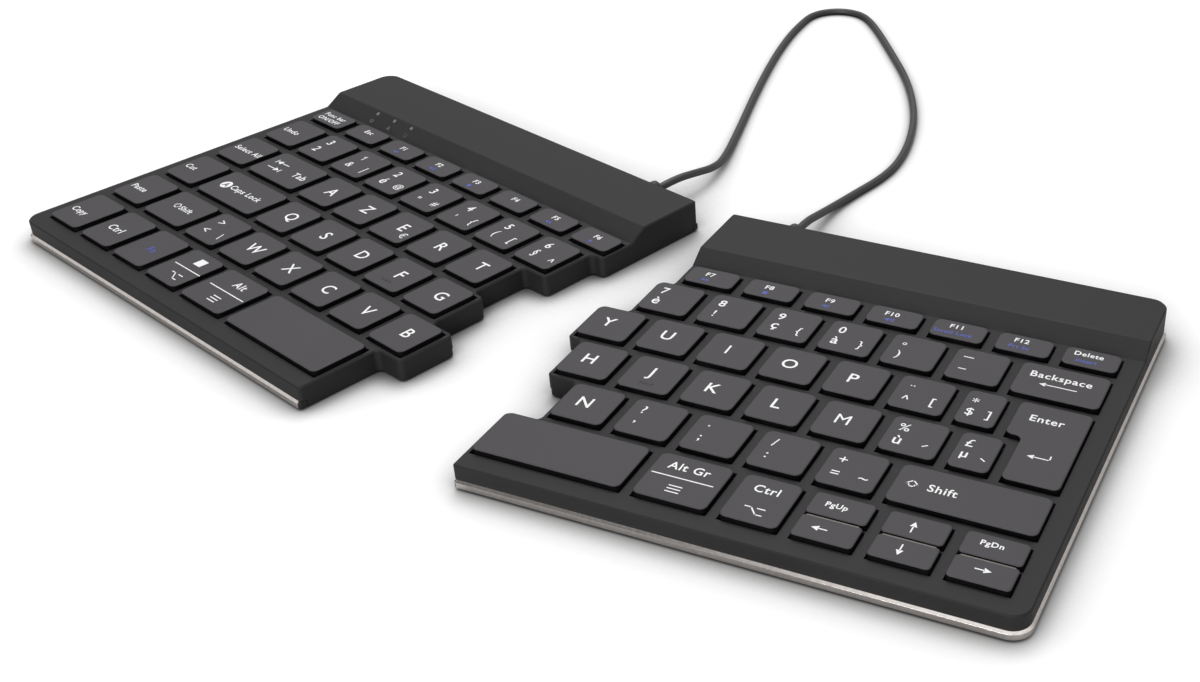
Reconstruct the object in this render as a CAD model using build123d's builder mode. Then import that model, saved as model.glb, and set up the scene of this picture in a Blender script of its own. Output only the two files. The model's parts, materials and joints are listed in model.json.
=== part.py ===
from build123d import *
from math import atan2, degrees, hypot, pi, radians, tan
import os

os.makedirs("parts", exist_ok=True)

# A keyboard in two halves joined by one cord. Each half is drawn in its own desk plane:
# X along the rows, Y to the rear, Z up, with zero at the front left corner of its innermost
# letter key in the lowest row of letters (B on the left half, N on the right half).

# Key field
pitch = 19.0
key_gap = 3.4
key_width = pitch - key_gap
field_units_share = 7.25
field_reach = field_units_share * pitch
narrow_cell = 14.5
stagger_shares = {"n": 0.0, "h": 0.5, "y": 0.75, "d": 0.25}
wide_cell = pitch * 5 / 4
f_key_width = 16.0
f_key_depth = 9.0
f_end_inset = 0.6
bottom_key_depth = 17.8
half_key_gap = 1.2
space_reach = 10.0
cap_corner = 1.5
cap_rise = 1.5
cap_height = 2.8
cap_clearance = 0.3
key_travel = 1.5
homing_bar_length = 4.2
homing_bar_width = 0.6
homing_bar_height = 0.25
homing_bar_inset = 3.2

# Housing
side_margin = 6.0
front_margin = 6.1
deck_height = 7.5
deck_thickness = 1.6
wall = 1.8
rim_height = 2.2
rim_ledge = 0.7
rim_bevel = 0.6
plate_thickness = 0.9
foot_height = 0.8
bar_rise = 3.7
bar_gap = 2.0
bar_slope_run = 6.0
bar_depth = 29.2
outer_corner = 5.0
step_corner = 1.8
end_corner = 1.0
edge_bevel = 0.4
seam_inset = 0.12
skirt_inset = 0.27
fit_clearance = 0.2
overrun = 1.0

# Key mechanism
switch_plate_thickness = 0.5
membrane_thickness = 0.3
sheet_margin = 0.3
sheet_corner = 1.0
dome_base_radius = 3.8
dome_top_radius = 1.5
dome_sides = 6
tail_width = 18.0
tail_inner_inset = 44.0

# Electronics in the rear bar
board_length = 92.0
board_depth = 15.0
board_thickness = 1.0
board_lift = 1.6
board_inner_inset = 8.0
board_rear_gap = 1.4
pad_side = 4.0
chip_side = 7.0
chip_height = 1.1
chip_inner_inset = 62.0
tail_grip_depth = 4.0
plug_width = 6.0
plug_depth = 3.6
plug_height = 2.4
battery_gap = 8.0
battery_depth = 16.0
battery_height = 4.2
battery_corner = 1.2
battery_outer_inset = 7.0
battery_rear_inset = 6.5
socket_width = 9.0
socket_height = 3.2
socket_depth = 7.0
socket_corner = 1.4
socket_shell = 0.35
socket_inner_inset = 80.0
tongue_width = 6.4
tongue_thickness = 0.7
tongue_depth = 4.6
light_radius = 0.7
light_pitch = 9.6
light_outer_inset = 25.1
light_from_top = 1.6
light_count = 3
light_bar_width = 2.6
light_bar_thickness = 1.0
light_bar_end = 2.4

# Screws and feet
boss_radius = 1.75
screw_radius = 0.8
thread_clearance = 0.05
screw_head_radius = 1.5
screw_head_height = 0.6
screw_length = 4.4
boss_inset = wall + boss_radius + fit_clearance
corner_boss_inset = outer_corner + boss_radius
foot_length = 24.0
foot_width = 6.0
foot_side_inset = 20.0
foot_end_inset = 11.0

# Cord between the halves
cord_diameter = 2.6
cord_exit_inset = 21.0
collar_radius = 2.5
collar_tip_radius = 1.9
collar_length = 3.0
neck_radius = 1.9
flange_radius = 2.6
flange_thickness = 0.8
cord_lead = 7.0
arc_share = 0.45

# The cord's route on the desk between its two leads, from the left half to the right half
cord_route = [
    (-16.2, 83.0, 4.0),
    (-18.4, 95.5, 1.9),
    (-21.8, 109.0, 1.3),
    (-30.5, 131.0, 1.3),
    (-43.4, 162.0, 1.3),
    (-56.2, 194.5, 1.3),
    (-63.6, 217.5, 1.3),
    (-66.8, 232.2, 1.3),
    (-68.0, 241.5, 1.3),
    (-64.6, 249.5, 1.3),
    (-57.2, 254.0, 1.3),
    (-48.5, 253.2, 1.3),
    (-37.9, 244.4, 1.3),
    (-19.5, 225.0, 1.3),
    (2.0, 201.5, 1.3),
    (18.6, 177.0, 1.3),
    (29.0, 154.5, 1.3),
    (34.4, 136.0, 1.3),
    (35.2, 122.5, 1.3),
    (33.4, 108.5, 1.3),
    (32.6, 95.5, 1.9),
    (34.1, 83.0, 4.0),
]

# How the halves stand: both swing about a point behind them, from closed to splayed
splay = 17.574
seam_gap = 0.4
swing_x = 1.2
swing_y = 163.5

# Heights above the desk
plate_bottom = foot_height
plate_top = plate_bottom + plate_thickness
rim_top = plate_bottom + rim_height
deck_under = deck_height - deck_thickness
cap_bottom = deck_height + cap_rise - cap_height
bar_height = deck_height + bar_rise
switch_top = plate_top + switch_plate_thickness
membrane_top = switch_top + membrane_thickness
board_bottom = plate_top + board_lift
board_top = board_bottom + board_thickness
cord_exit_height = rim_top + fit_clearance + collar_radius

# Lines across a half, from front to rear
seam_margin = key_gap / 2
inner_wall = seam_margin - 2 * fit_clearance
bottom_line = -key_gap - bottom_key_depth
front_line = bottom_line - front_margin
row_lines = [index * pitch - seam_margin for index in range(5)]
f_front = 4 * pitch
slope_foot = f_front + f_key_depth + bar_gap
slope_top = slope_foot + bar_slope_run
rear_line = slope_foot + bar_depth
board_rear = rear_line - wall - board_rear_gap
board_front = board_rear - board_depth


class Half:
    """One half: its sense along X, the X of its stepped inner side and its desk plane."""

    def __init__(self, name, sense):
        self.name = name
        self.sense = sense
        self.inner = -seam_margin if sense > 0 else key_width + seam_margin
        self.outer = field_reach + side_margin - key_gap if sense > 0 else -field_reach - side_margin
        self.desk = Plane.XY
        self.keys = []

    def from_inner(self, inset):
        """X at a distance outwards from the inner end of the rear bar."""
        return self.inner + self.sense * inset

    def from_outer(self, inset):
        """X at a distance inwards from the outer side."""
        return self.outer - self.sense * inset

    def step_points(self, inset):
        """The stepped inner side from front to rear, with every face moved in by inset."""
        reaches = [space_reach] + [share * pitch for share in stagger_shares.values()] + [0.0]
        lines = [front_line] + row_lines + [rear_line]
        points = []
        for index, reach in enumerate(reaches):
            low, high = lines[index], lines[index + 1]
            if index > 0:
                low += inset if (reach - reaches[index - 1]) * self.sense > 0 else -inset
            if index < len(reaches) - 1:
                high += inset if (reaches[index + 1] - reach) * self.sense > 0 else -inset
            x = self.from_inner(inset) - reach
            points += [(x, low), (x, high)]
        return points

    def loop(self, inset, low, high, outer, ends, sides):
        """Corners and radii of a closed outline with the stepped side moved in by inset."""
        steps = self.step_points(inset)
        steps[0] = (steps[0][0], low)
        steps[-1] = (steps[-1][0], high)
        radii = [ends] + [step_corner] * (len(steps) - 2) + [ends, sides, sides]
        return steps + [(outer, high), (outer, low)], radii

    def outline(self, inset=0.0, grow=0.0, ends=end_corner):
        """The housing's outline, with its plain sides moved out by grow."""
        outer = self.from_outer(-grow)
        return self.loop(inset, front_line - grow, rear_line + grow, outer, ends, outer_corner + grow)

    def side_plane(self, x=0.0, y=0.0, z=0.0):
        """An upright plane whose own X runs to the rear and whose own Y runs up."""
        origin = self.desk.from_local_coords(Vector(x, y, z))
        return Plane(origin=origin, x_dir=self.desk.y_dir, z_dir=self.desk.x_dir)

    def rear_plane(self, x, height, y=rear_line):
        """An upright plane that faces the rear, with its own Y running up."""
        origin = self.desk.from_local_coords(Vector(x, y, height))
        return Plane(origin=origin, x_dir=-self.desk.x_dir, z_dir=self.desk.y_dir)


left = Half("left", -1)
right = Half("right", 1)


def outlined(plane, points, radii):
    """A sketch on a plane: one closed outline with rounded corners."""
    with BuildSketch(plane) as sketch:
        with BuildLine():
            FilletPolyline(*points, radius=radii, close=True)
        make_face()
    return sketch.sketch


def swung_desk(turn, closed_x, pole):
    """The desk plane of a half that has swung by turn about the pole."""
    offset = Vector(closed_x - swing_x, -swing_y, 0).rotate(Axis.Z, turn)
    return Plane(origin=pole + offset, x_dir=Vector(1, 0, 0).rotate(Axis.Z, turn))


def stand(pole):
    """Places both halves round the pole, each swung by half the splay."""
    right.desk = swung_desk(splay / 2, 0.0, pole)
    left.desk = swung_desk(-splay / 2, -pitch - seam_gap, pole)


# The origin is the middle of the footprint of the two metal plates on the desk
stand(Vector(0, 0, 0))
footprints = []
for half in (left, right):
    footprints.append(outlined(half.desk, *half.outline(grow=rim_ledge)))
middle = Compound(children=footprints).bounding_box().center()
swing_pole = Vector(-middle.X, -middle.Y, 0)
stand(swing_pole)


def save(piece, name):
    """Labels a finished piece and writes it as one node."""
    piece.part.label = name
    export_step(piece.part, "parts/" + name + ".step")


def row_keys(x, y, depth, cells):
    """The keys of one row from x on, as (node, x0, x1, y0, y1), from their cells."""
    keys = []
    for node, cell in cells:
        keys.append((node, x, x + cell - key_gap, y, y + depth))
        x += cell
    return keys


def spread_keys(x0, x1, node, count):
    """Function keys of one width, spread evenly from x0 to x1."""
    step = (x1 - x0 - f_key_width) / (count - 1)
    starts = [x0 + index * step for index in range(count)]
    return [(node, x, x + f_key_width, f_front, f_front + f_key_depth) for x in starts]


def letters(text):
    """One cell for each letter."""
    return [("key_" + letter, pitch) for letter in text]


row_start = {row: -share * pitch for row, share in stagger_shares.items()}


def left_keys():
    """The 44 keys of the left half."""
    controls, numbers = "left_control_keys", "left_number_keys"
    edge = -field_reach
    side = edge + pitch
    n_start = row_start["n"] - 5 * pitch
    h_start = row_start["h"] - 4 * pitch
    y_start = row_start["y"] - 4 * pitch
    space_start = side + 3 * pitch + wide_cell
    space_cell = key_width - space_reach + key_gap - space_start
    keys = row_keys(edge, bottom_line, bottom_key_depth, [(controls, pitch)])
    for row in range(4):
        keys += row_keys(edge, row * pitch, key_width, [(controls, pitch)])
    n_cells = [("key_shift_left", n_start - side), (numbers, pitch)] + letters("wxcvb")
    h_cells = [(controls, h_start - side)] + letters("qsdfg")
    y_cells = [(controls, y_start - side)] + letters("azert")
    bottom_cells = [(controls, pitch)] * 3 + [(controls, wide_cell), ("key_space_left", space_cell)]
    keys += row_keys(side, 0.0, key_width, n_cells)
    keys += row_keys(side, pitch, key_width, h_cells)
    keys += row_keys(side, 2 * pitch, key_width, y_cells)
    keys += row_keys(row_start["d"] - 6 * pitch, 3 * pitch, key_width, [(numbers, pitch)] * 7)
    keys += row_keys(side, bottom_line, bottom_key_depth, bottom_cells)
    keys += spread_keys(edge, key_width + f_end_inset, "left_function_keys", 8)
    return keys


def right_keys():
    """The keys of the right half, apart from the stepped Enter key."""
    controls, numbers = "right_control_keys", "right_number_keys"
    back_cell = field_reach - row_start["d"] - 6 * pitch
    n_cells = letters("n") + [(numbers, pitch)] * 4 + [("key_shift_right", field_reach - 5 * pitch)]
    h_cells = letters("hjklm") + [(numbers, pitch), (numbers, narrow_cell)]
    y_cells = letters("yuiop") + [(numbers, pitch), (numbers, narrow_cell)]
    keys = row_keys(row_start["n"], 0.0, key_width, n_cells)
    keys += row_keys(row_start["h"], pitch, key_width, h_cells)
    keys += row_keys(row_start["y"], 2 * pitch, key_width, y_cells)
    digit_cells = [(numbers, pitch)] * 6 + [("key_backspace", back_cell)]
    keys += row_keys(row_start["d"], 3 * pitch, key_width, digit_cells)
    f_keys = spread_keys(f_end_inset, field_reach - key_gap, "right_function_keys", 7)
    half_depth = (bottom_key_depth - half_key_gap) / 2
    for key in f_keys[-3:]:
        keys += [(controls, key[1], key[2], bottom_line, bottom_line + half_depth)]
        keys += [(controls, key[1], key[2], -key_gap - half_depth, -key_gap)]
    space_cell = f_keys[-3][1] - pitch - wide_cell + space_reach
    bottom_cells = [("key_space_right", space_cell), (controls, wide_cell), (controls, pitch)]
    keys += row_keys(-space_reach, bottom_line, bottom_key_depth, bottom_cells)
    return keys + f_keys


left.keys = left_keys()
right.keys = right_keys()


def enter_corners(grow=0.0):
    """The tall Enter key, which is wider over the upper of its two rows."""
    low_left = row_start["h"] + 6 * pitch + narrow_cell - grow
    top_left = row_start["y"] + 6 * pitch + narrow_cell - grow
    right_x = field_reach - key_gap + grow
    low, step, high = pitch - grow, 2 * pitch - grow, 2 * pitch + key_width + grow
    corners = [(low_left, low), (low_left, step), (top_left, step), (top_left, high)]
    return corners + [(right_x, high), (right_x, low)]


def middle_of(key):
    """The middle of a key's cap in its desk plane."""
    return ((key[1] + key[2]) / 2, (key[3] + key[4]) / 2)


def dome_places(half):
    """Where the domes stand: under the middle of each key."""
    places = [middle_of(key) for key in half.keys]
    if half is right:
        corners = enter_corners()
        places.append(((corners[0][0] + corners[4][0]) / 2, (corners[0][1] + corners[4][1]) / 2))
    return places


def boss_places(half):
    """Where the screws stand: three along the front margin, three in the rear bar."""
    inner_x, outer_x = half.from_inner(boss_inset), half.from_outer(boss_inset)
    middle_x = (inner_x + outer_x) / 2
    front = [(inner_x - space_reach, front_line + boss_inset), (middle_x, front_line + boss_inset)]
    front += [(outer_x, front_line + corner_boss_inset)]
    rear = [(inner_x, rear_line - boss_inset), (outer_x, rear_line - corner_boss_inset)]
    return front + rear + [(middle_x, slope_top + boss_radius)]


def socket_place(half, y=rear_line):
    """A rear-facing plane at the middle of the charge socket."""
    return half.rear_plane(half.from_inner(socket_inner_inset), board_top + socket_height / 2, y)


slope_length = hypot(bar_slope_run, bar_rise)
slope_thickness = (bar_slope_run * deck_thickness + bar_rise * wall) / slope_length


def light_plane(half):
    """A plane on the outer face of the slope, its own X along the row, its Z out of the face."""
    x = half.from_outer(light_outer_inset + light_pitch * (light_count - 1) / 2)
    share = 1 - light_from_top / slope_length
    y = slope_foot + bar_slope_run * share
    origin = half.desk.from_local_coords(Vector(x, y, deck_height + bar_rise * share))
    outwards = half.desk.z_dir * bar_slope_run - half.desk.y_dir * bar_rise
    return Plane(origin=origin, x_dir=half.desk.x_dir, z_dir=outwards)


def bar_block(half, inset, grow, bottom, drop, back, ends):
    """A block with the housing's outline and the rear bar's slope, lowered by drop."""
    with BuildPart() as block:
        base = outlined(half.desk.offset(bottom), *half.outline(inset, grow, ends))
        extrude(base, amount=bar_height - drop - bottom)
        rise_over = bar_height - drop + overrun
        run_over = slope_top + back + overrun * bar_slope_run / bar_rise
        with BuildSketch(half.side_plane()):
            with BuildLine():
                Polyline(
                    (front_line - overrun, deck_height - drop),
                    (slope_foot + back, deck_height - drop),
                    (run_over, rise_over),
                    (front_line - overrun, rise_over),
                    close=True,
                )
            make_face()
        extrude(amount=field_reach + side_margin + overrun, both=True, mode=Mode.SUBTRACT)
    return block


def make_top_case(half):
    """The moulded top: deck, rear bar, walls, a skirt down the stepped side and its bosses."""
    shell = bar_block(half, seam_inset, 0.0, rim_top, 0.0, 0.0, end_corner)
    cavity = bar_block(half, inner_wall, -wall, plate_bottom - overrun, deck_thickness, wall, 0.0)
    with BuildPart() as case:
        add(shell.part)
        rims = case.edges().filter_by(lambda edge: edge.bounding_box().min.Z > deck_height - overrun)
        foot_z, foot_y = deck_height + fit_clearance, slope_foot - fit_clearance
        top_edges = [
            edge
            for edge in rims
            if edge.bounding_box().max.Z > foot_z or half.desk.to_local_coords(edge.center()).Y < foot_y
        ]
        chamfer(top_edges, length=edge_bevel)
        skirt_outline = half.outline(skirt_inset, -wall - fit_clearance, 0.0)
        extrude(outlined(half.desk.offset(plate_bottom), *skirt_outline), amount=rim_height)
        add(cavity.part, mode=Mode.SUBTRACT)
        with BuildSketch(half.desk.offset(plate_top)):
            with Locations(*boss_places(half)[:3]):
                Circle(boss_radius)
        extrude(amount=deck_height - deck_thickness / 2 - plate_top)
        with BuildSketch(half.desk.offset(plate_top)):
            with Locations(*boss_places(half)[3:]):
                Circle(boss_radius)
        extrude(amount=bar_height - deck_thickness / 2 - plate_top)
        with BuildSketch(half.desk.offset(plate_top)):
            with Locations(*boss_places(half)):
                Circle(screw_radius + thread_clearance)
        extrude(amount=screw_length - plate_thickness + fit_clearance, mode=Mode.SUBTRACT)
        lowest = cap_bottom - key_travel - fit_clearance
        with BuildSketch(half.desk.offset(lowest)):
            for key in half.keys:
                with Locations(middle_of(key)):
                    Rectangle(
                        key[2] - key[1] + 2 * cap_clearance,
                        key[4] - key[3] + 2 * cap_clearance,
                    )
            if half is right:
                with BuildLine():
                    Polyline(*enter_corners(cap_clearance), close=True)
                make_face()
        extrude(amount=deck_height + overrun - lowest, mode=Mode.SUBTRACT)
        with BuildSketch(half.rear_plane(half.from_inner(cord_exit_inset), cord_exit_height)):
            Circle(neck_radius + thread_clearance)
        extrude(amount=-wall - overrun, mode=Mode.SUBTRACT)
        if half is left:
            with BuildSketch(socket_place(half)):
                wide = socket_width + 2 * fit_clearance
                tall = socket_height + 2 * fit_clearance
                RectangleRounded(wide, tall, socket_corner + fit_clearance)
            extrude(amount=-wall - overrun, mode=Mode.SUBTRACT)
            with BuildSketch(light_plane(half)):
                with GridLocations(light_pitch, 0, light_count, 1):
                    Circle(light_radius + thread_clearance)
            extrude(amount=-slope_thickness - overrun, mode=Mode.SUBTRACT)
    save(case, half.name + "_top_case")


def make_base_plate(half):
    """The metal base: a floor with a raised, bevelled border on its three plain sides."""
    board_x = half.from_inner(board_inner_inset + board_length / 2)
    with BuildPart() as plate:
        border = outlined(half.desk.offset(plate_bottom), *half.outline(skirt_inset, rim_ledge))
        extrude(border, amount=rim_height)
        chamfer(plate.edges().group_by(Axis.Z)[-1], length=rim_bevel)
        inside = outlined(half.desk.offset(plate_bottom - overrun), *half.outline(-overrun, -wall, 0.0))
        extrude(inside, amount=rim_height + 2 * overrun, mode=Mode.SUBTRACT)
        floor_outline = half.outline(inner_wall + fit_clearance, 0.0)
        extrude(outlined(half.desk.offset(plate_bottom), *floor_outline), amount=plate_thickness)
        with BuildSketch(half.desk.offset(plate_top)):
            with Locations((board_x, (board_front + board_rear) / 2)):
                with GridLocations(board_length - pad_side, board_depth - pad_side, 2, 2):
                    Rectangle(pad_side, pad_side)
        extrude(amount=board_lift)
        with BuildSketch(half.desk.offset(plate_bottom)):
            with Locations(*boss_places(half)):
                Circle(screw_head_radius + fit_clearance)
        extrude(amount=screw_head_height, mode=Mode.SUBTRACT)
        with BuildSketch(half.desk.offset(plate_bottom)):
            with Locations(*boss_places(half)):
                Circle(screw_radius + fit_clearance)
        extrude(amount=plate_thickness, mode=Mode.SUBTRACT)
    save(plate, half.name + "_base_plate")


def sheet_outline(half, height):
    """The sketch of a sheet that lies under the whole key field."""
    low = bottom_line - sheet_margin
    high = f_front + f_key_depth + sheet_margin
    outer = half.from_outer(side_margin - sheet_margin)
    corners = half.loop(inner_wall + fit_clearance, low, high, outer, sheet_corner, sheet_corner)
    return outlined(half.desk.offset(height), *corners)


def make_switch_plate(half):
    """The steel sheet that backs the switches."""
    with BuildPart() as sheet:
        extrude(sheet_outline(half, plate_top), amount=switch_plate_thickness)
    save(sheet, half.name + "_switch_plate")


def make_membrane(half):
    """The printed switch membrane, with its tail under the circuit board."""
    tail_front = f_front + f_key_depth
    tail_rear = board_front + tail_grip_depth
    with BuildPart() as sheet:
        extrude(sheet_outline(half, switch_top), amount=membrane_thickness)
        with BuildSketch(half.desk.offset(switch_top)):
            with Locations((half.from_inner(tail_inner_inset), (tail_front + tail_rear) / 2)):
                Rectangle(tail_width, tail_rear - tail_front)
        extrude(amount=membrane_thickness)
    save(sheet, half.name + "_membrane")


def make_domes(half):
    """One rubber dome for each key, faceted, from the membrane up to the cap."""
    with BuildPart() as domes:
        with BuildSketch(half.desk.offset(membrane_top)):
            with Locations(*dome_places(half)):
                RegularPolygon(dome_base_radius, dome_sides)
        height = cap_bottom - membrane_top
        lean = degrees(atan2(dome_base_radius - dome_top_radius, height))
        extrude(amount=height, taper=lean)
    save(domes, half.name + "_domes")


def make_circuit_board(half):
    """The board in the rear bar, with its chip, the grip on the tail and the cord's socket."""
    board_x = half.from_inner(board_inner_inset + board_length / 2)
    board_y = (board_front + board_rear) / 2
    with BuildPart() as board:
        with BuildSketch(half.desk.offset(board_bottom)):
            with Locations((board_x, board_y)):
                Rectangle(board_length, board_depth)
        extrude(amount=board_thickness)
        with BuildSketch(half.desk.offset(board_top)):
            with Locations((half.from_inner(chip_inner_inset), board_y)):
                Rectangle(chip_side, chip_side)
        extrude(amount=chip_height)
        with BuildSketch(half.desk.offset(board_top)):
            with Locations((half.from_inner(cord_exit_inset), board_rear - plug_depth)):
                Rectangle(plug_width, plug_depth)
        extrude(amount=plug_height)
        with BuildSketch(half.desk.offset(membrane_top)):
            with Locations((half.from_inner(tail_inner_inset), board_front + tail_grip_depth / 2)):
                Rectangle(tail_width, tail_grip_depth)
        extrude(amount=board_bottom - membrane_top)
    save(board, half.name + "_circuit_board")


def make_screws(half):
    """Six pan-head screws that hold the base plate to the bosses of the top."""
    with BuildPart() as screws:
        with BuildSketch(half.desk.offset(plate_bottom)):
            with Locations(*boss_places(half)):
                Circle(screw_head_radius)
        extrude(amount=screw_head_height)
        with BuildSketch(half.desk.offset(plate_bottom)):
            with Locations(*boss_places(half)):
                Circle(screw_radius)
        extrude(amount=screw_length)
    save(screws, half.name + "_screws")


def make_feet(half):
    """Four rubber strips stuck under the base plate."""
    front_y, rear_y = front_line + foot_end_inset, rear_line - foot_end_inset
    inner_x, outer_x = half.from_inner(foot_side_inset), half.from_outer(foot_side_inset)
    places = [(inner_x - space_reach, front_y), (outer_x, front_y), (inner_x, rear_y), (outer_x, rear_y)]
    with BuildPart() as feet:
        with BuildSketch(half.desk):
            with Locations(*places):
                RectangleRounded(foot_length, foot_width, foot_width / 3)
        extrude(amount=foot_height)
    save(feet, half.name + "_feet")


def make_grommet(half):
    """The cord's rubber grommet: a flange inside, a neck in the wall, a collar outside."""
    place = half.side_plane(half.from_inner(cord_exit_inset), rear_line, cord_exit_height)
    with BuildPart() as grommet:
        with BuildSketch(place):
            with BuildLine():
                Polyline(
                    (-wall - flange_thickness, 0),
                    (-wall - flange_thickness, flange_radius),
                    (-wall, flange_radius),
                    (-wall, neck_radius),
                    (0, neck_radius),
                    (0, collar_radius),
                    (collar_length, collar_tip_radius),
                    (collar_length, 0),
                    close=True,
                )
            make_face()
        revolve(axis=Axis(place.origin, half.desk.y_dir))
    save(grommet, half.name + "_cord_grommet")


def key_groups(half):
    """The half's keys gathered by node."""
    groups = {}
    for key in half.keys:
        groups.setdefault(key[0], []).append(key)
    return groups


def make_keys(half):
    """The key caps: one node for each letter, Space, Shift and Backspace, the rest in groups."""
    for node, keys in key_groups(half).items():
        with BuildPart() as caps:
            with BuildSketch(half.desk.offset(cap_bottom)):
                for key in keys:
                    with Locations(middle_of(key)):
                        RectangleRounded(key[2] - key[1], key[4] - key[3], cap_corner)
            extrude(amount=cap_height)
            if node in ("key_f", "key_j"):
                bar_y = keys[0][3] + homing_bar_inset
                with BuildSketch(half.desk.offset(cap_bottom + cap_height)):
                    with Locations((middle_of(keys[0])[0], bar_y)):
                        Rectangle(homing_bar_length, homing_bar_width)
                extrude(amount=homing_bar_height)
        save(caps, node)


def make_enter():
    """The Enter key, whose cap steps round the keys beside it."""
    with BuildPart() as cap:
        radii = [cap_corner, cap_clearance] + [cap_corner] * 4
        outline = outlined(right.desk.offset(cap_bottom), enter_corners(), radii)
        extrude(outline, amount=cap_height)
    save(cap, "key_enter")


def make_battery():
    """The flat battery pack in the outer part of the left rear bar."""
    inner_x = left.from_inner(board_inner_inset + board_length + battery_gap)
    outer_x = left.from_outer(battery_outer_inset)
    battery_length = abs(outer_x - inner_x)
    y = rear_line - battery_rear_inset - battery_depth / 2
    with BuildPart() as battery:
        with BuildSketch(left.desk.offset(plate_top)):
            with Locations(((inner_x + outer_x) / 2, y)):
                RectangleRounded(battery_length, battery_depth, battery_corner)
        extrude(amount=battery_height)
    save(battery, "left_battery")


def make_charge_socket():
    """The charge socket: a thin metal shell on the board with a tongue inside."""
    with BuildPart() as socket:
        with BuildSketch(socket_place(left)):
            RectangleRounded(socket_width, socket_height, socket_corner)
        extrude(amount=-socket_depth)
        with BuildSketch(socket_place(left)):
            hollow_width = socket_width - 2 * socket_shell
            hollow_height = socket_height - 2 * socket_shell
            RectangleRounded(hollow_width, hollow_height, socket_corner - socket_shell)
        extrude(amount=socket_shell - socket_depth, mode=Mode.SUBTRACT)
        with BuildSketch(socket_place(left, rear_line - socket_depth)):
            Rectangle(tongue_width, tongue_thickness)
        extrude(amount=socket_shell + tongue_depth)
    save(socket, "left_charge_socket")


def make_lights():
    """The light guide: three round pins through the slope on a bar behind it."""
    face = light_plane(left)
    bar_length = light_pitch * (light_count - 1) + 2 * light_bar_end
    with BuildPart() as guide:
        with BuildSketch(face.offset(-slope_thickness)):
            with GridLocations(light_pitch, 0, light_count, 1):
                Circle(light_radius)
        extrude(amount=slope_thickness)
        with BuildSketch(face.offset(-slope_thickness)):
            Rectangle(bar_length, light_bar_width)
        extrude(amount=-light_bar_thickness)
    save(guide, "left_indicator_lights")


for half in (left, right):
    make_top_case(half)
    make_base_plate(half)
    make_switch_plate(half)
    make_membrane(half)
    make_domes(half)
    make_circuit_board(half)
    make_screws(half)
    make_feet(half)
    make_grommet(half)
    make_keys(half)
make_enter()
make_battery()
make_charge_socket()
make_lights()



def cord_points():
    """The whole route, with a straight lead square to each grommet's tip."""
    leads = []
    for half in (left, right):
        exit_x = half.from_inner(cord_exit_inset)
        tip_y = rear_line + collar_length
        tip = half.desk.from_local_coords(Vector(exit_x, tip_y, cord_exit_height))
        leads.append([tip, tip + half.desk.y_dir * cord_lead])
    return leads[0] + [Vector(*point) for point in cord_route] + leads[1][::-1]


def arc_radii(points):
    """The largest tangent arc that the shorter run at each corner allows."""
    radii = []
    for before, corner, after in zip(points, points[1:], points[2:]):
        shorter = min((corner - before).length, (after - corner).length)
        turn = radians((corner - before).get_angle(after - corner))
        radii.append(arc_share * shorter / tan(turn / 2))
    return radii


def make_cord():
    """The cord that joins the halves: straight runs and tangent arcs, laid on the desk."""
    points = cord_points()
    radii = arc_radii(points)
    with BuildPart() as cord:
        with BuildLine() as route:
            FilletPolyline(*points, radius=radii)
        with BuildSketch(Plane(origin=route.line @ 0, z_dir=route.line % 0)):
            Circle(cord_diameter / 2)
        sweep()
    save(cord, "joining_cord")
    length = sum(edge.length for edge in route.edges())
    section = pi * cord_diameter**2 / 4
    print("cord length", round(length, 1), "least radii", [round(r, 1) for r in sorted(radii)[:5]])
    print("cord volume", round(cord.part.volume, 1), "of", round(section * length, 1))


make_cord()
for half in (left, right):
    print(half.name, "desk origin", half.desk.origin, "along", half.desk.x_dir)
print("swing pole", swing_pole)
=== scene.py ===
import json
from math import atan2, cos, pi, radians, sin

import bmesh
import bpy
from mathutils import Matrix, Vector

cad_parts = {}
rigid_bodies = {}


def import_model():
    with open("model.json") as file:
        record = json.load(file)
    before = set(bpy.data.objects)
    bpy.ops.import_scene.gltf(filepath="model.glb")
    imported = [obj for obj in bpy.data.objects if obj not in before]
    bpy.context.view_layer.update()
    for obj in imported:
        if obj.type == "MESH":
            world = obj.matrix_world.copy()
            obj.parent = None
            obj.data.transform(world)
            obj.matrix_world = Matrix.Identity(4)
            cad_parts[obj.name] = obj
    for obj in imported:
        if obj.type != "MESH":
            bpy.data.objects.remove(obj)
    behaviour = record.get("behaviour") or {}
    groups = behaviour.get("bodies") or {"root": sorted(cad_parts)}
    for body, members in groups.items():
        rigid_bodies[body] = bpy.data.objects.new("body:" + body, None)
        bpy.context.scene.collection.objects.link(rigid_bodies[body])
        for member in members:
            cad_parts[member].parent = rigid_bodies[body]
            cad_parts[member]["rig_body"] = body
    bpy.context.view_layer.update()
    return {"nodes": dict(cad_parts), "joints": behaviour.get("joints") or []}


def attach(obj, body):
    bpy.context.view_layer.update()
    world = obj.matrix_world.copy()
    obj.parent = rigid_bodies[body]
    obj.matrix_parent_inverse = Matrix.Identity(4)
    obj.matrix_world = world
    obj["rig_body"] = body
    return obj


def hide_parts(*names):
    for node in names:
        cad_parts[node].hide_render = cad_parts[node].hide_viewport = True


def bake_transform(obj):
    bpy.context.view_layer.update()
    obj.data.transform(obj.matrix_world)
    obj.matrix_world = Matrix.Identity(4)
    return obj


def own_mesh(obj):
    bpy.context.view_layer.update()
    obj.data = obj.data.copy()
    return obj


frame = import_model()
nodes = frame["nodes"]
mm = 0.001

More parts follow.
